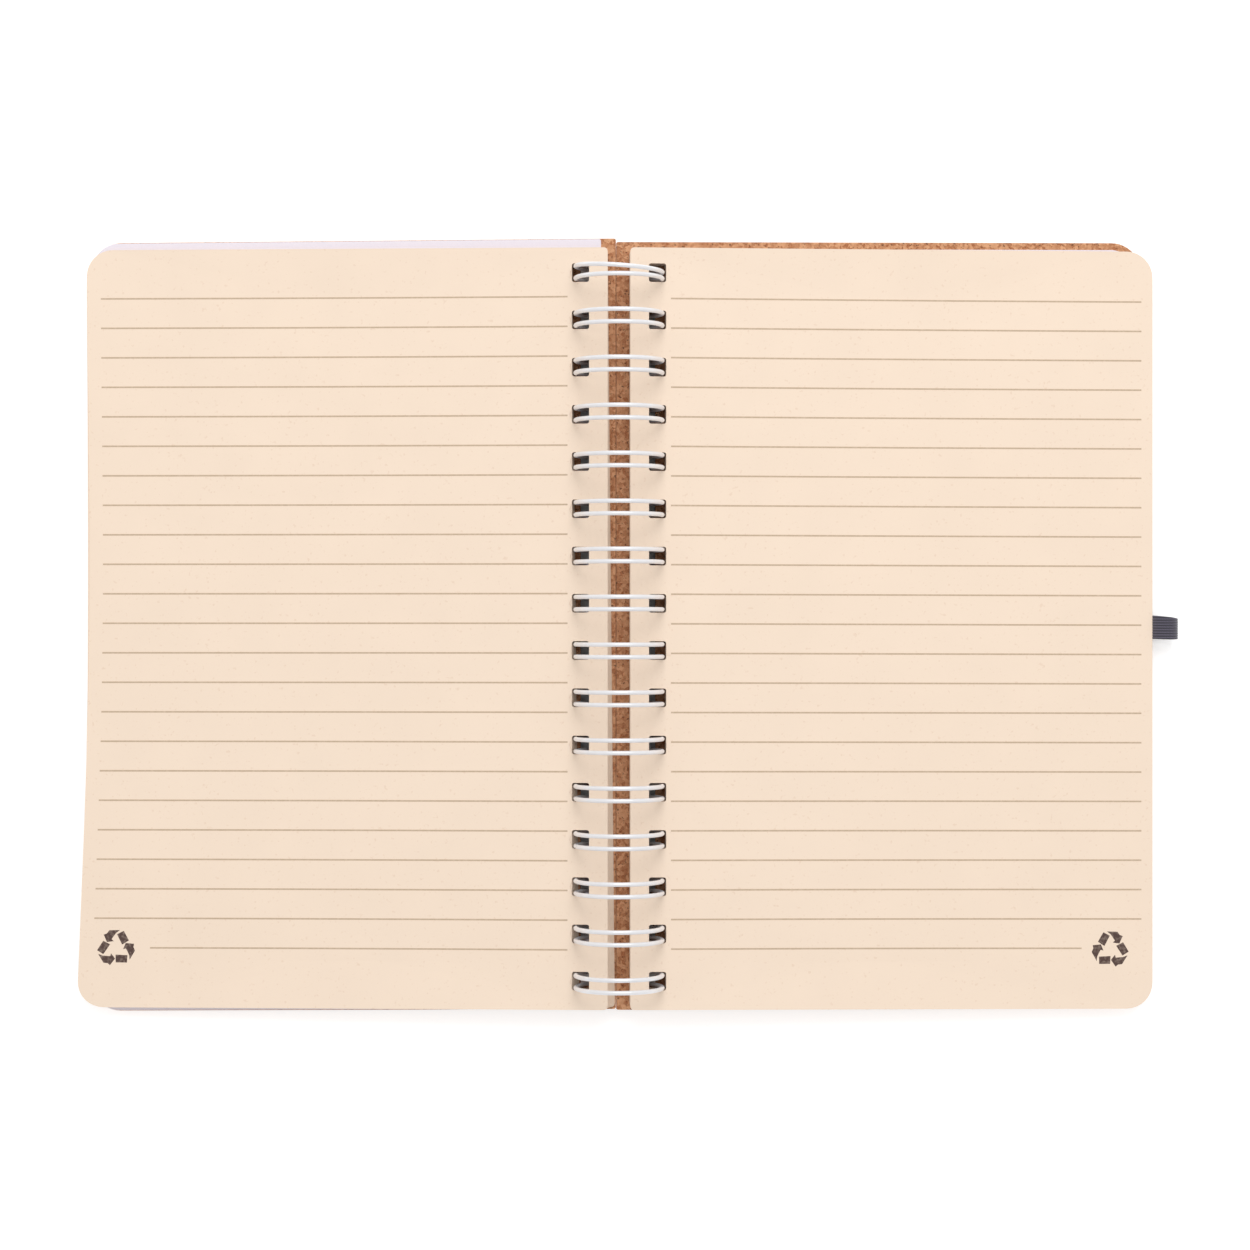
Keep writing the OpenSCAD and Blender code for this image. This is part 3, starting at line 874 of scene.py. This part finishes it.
def white_floor():
    """A seamless white table top that stays white to the camera and in reflections, and keeps the object's shadow."""
    material, tree = new_material("seamless_white_card")
    path = add(tree, "ShaderNodeLightPath")
    seen = add(tree, "ShaderNodeMath", {0: path.outputs["Is Camera Ray"], 1: path.outputs["Is Glossy Ray"]},
               operation="MAXIMUM")
    through = add(tree, "ShaderNodeMath", {0: seen.outputs[0], 1: path.outputs["Is Transmission Ray"]},
                  operation="MAXIMUM")
    # The glow stops where the notebook covers the table, so that the table is dark through the punched holes.
    open_sky = add(tree, "ShaderNodeAmbientOcclusion", {"Distance": 20 * MM}, samples=16)
    clear = add(tree, "ShaderNodeMapRange", {"Value": open_sky.outputs["AO"], "From Min": 0.05, "From Max": 0.35})
    glows = add(tree, "ShaderNodeMath", {0: through.outputs[0], 1: clear.outputs["Result"]}, operation="MULTIPLY")
    lift = add(tree, "ShaderNodeMath", {0: glows.outputs[0], 1: FLOOR_GLOW}, operation="MULTIPLY")
    card = add(tree, "ShaderNodeBsdfDiffuse", {"Color": (0.82, 0.82, 0.82, 1)})
    glow = add(tree, "ShaderNodeEmission", {"Color": (1, 1, 1, 1), "Strength": lift.outputs[0]})
    both = add(tree, "ShaderNodeAddShader", {0: card.outputs[0], 1: glow.outputs[0]})
    return surfaced(material, both)


class NOTEBOOK_OT_stage(Operator):
    """Sets the white floor, the soft lights and the camera straight above."""

    bl_idname = "notebook.stage"
    bl_label = "Stage"

    def execute(self, context):
        scene = context.scene
        size = 3.0  # metres from the middle to each side
        floor = make_piece(
            "floor", [(-size, -size, 0), (size, -size, 0), (size, size, 0), (-size, size, 0)], [(0, 1, 2, 3)],
            [white_floor()]
        )

        world = bpy.data.worlds.new("plain_white_room")
        world.use_nodes = True
        tree = world.node_tree
        tree.nodes.clear()
        path = add(tree, "ShaderNodeLightPath")
        # Dimmer on the notebook than to the camera, so that the paper renders at about its written colour.
        strength = add(tree, "ShaderNodeMapRange", {
            "Value": path.outputs["Is Camera Ray"], "To Min": 0.705, "To Max": 1.0
        })
        room = add(tree, "ShaderNodeBackground", {"Color": (1, 1, 1, 1), "Strength": strength.outputs["Result"]})
        end = add(tree, "ShaderNodeOutputWorld")
        tree.links.new(room.outputs[0], end.inputs["Surface"])
        scene.world = world

        # A large soft box high over the head, a little to the right.
        lamp = bpy.data.lights.new("soft_box", "AREA")
        lamp.shape, lamp.size, lamp.size_y, lamp.energy = "RECTANGLE", 0.9, 0.9, 8.0
        box = bpy.data.objects.new("soft_box", lamp)
        box.location = (0.15, 0.85, 1.1)
        box.rotation_euler = (Vector((0, 0, 0)) - box.location).to_track_quat("-Z", "Y").to_euler()
        scene.collection.objects.link(box)

        # The camera hangs this far above the pages, and its view is this wide there, in metres.
        distance, field, page_z = 0.78, 0.3372, 0.009
        camera_data = bpy.data.cameras.new("camera")
        camera_data.sensor_width = 36
        camera_data.lens = 36 * distance / field
        camera_data.clip_start, camera_data.clip_end = 0.01, 20
        camera = bpy.data.objects.new("camera", camera_data)
        camera.location = (-2.2 * MM, 0.5 * MM, distance + page_z)
        scene.collection.objects.link(camera)
        scene.camera = camera
        scene.view_settings.view_transform = "Standard"
        return {"FINISHED"}


class NOTEBOOK_PT_sidebar(Panel):
    """Lists the notebook's sizes, colours and building steps."""

    bl_idname = "NOTEBOOK_PT_sidebar"
    bl_label = "Notebook"
    bl_space_type = "VIEW_3D"
    bl_region_type = "UI"
    bl_category = "Notebook"

    def draw(self, context):
        for group in (context.scene.notebook_paper, context.scene.notebook_binding):
            column = self.layout.column(align=True)
            for name in group.__annotations__:
                column.prop(group, name)
        for step in STEPS:
            self.layout.operator(step.bl_idname)


STEPS = (
    NOTEBOOK_OT_covers, NOTEBOOK_OT_pages, NOTEBOOK_OT_print, NOTEBOOK_OT_wire, NOTEBOOK_OT_pen_loop,
    NOTEBOOK_OT_stage,
)
CLASSES = (NotebookPaper, NotebookBinding, *STEPS, NOTEBOOK_PT_sidebar)


def register():
    for cls in CLASSES:
        bpy.utils.register_class(cls)
    bpy.types.Scene.notebook_paper = PointerProperty(type=NotebookPaper)
    bpy.types.Scene.notebook_binding = PointerProperty(type=NotebookBinding)


def unregister():
    del bpy.types.Scene.notebook_paper
    del bpy.types.Scene.notebook_binding
    for cls in reversed(CLASSES):
        bpy.utils.unregister_class(cls)


def main():
    """Builds the notebook and its stage."""
    register()
    bpy.ops.notebook.covers()
    bpy.ops.notebook.pages()
    bpy.ops.notebook.print()
    bpy.ops.notebook.wire()
    bpy.ops.notebook.pen_loop()
    bpy.ops.notebook.stage()


if __name__ == "__main__":
    main()
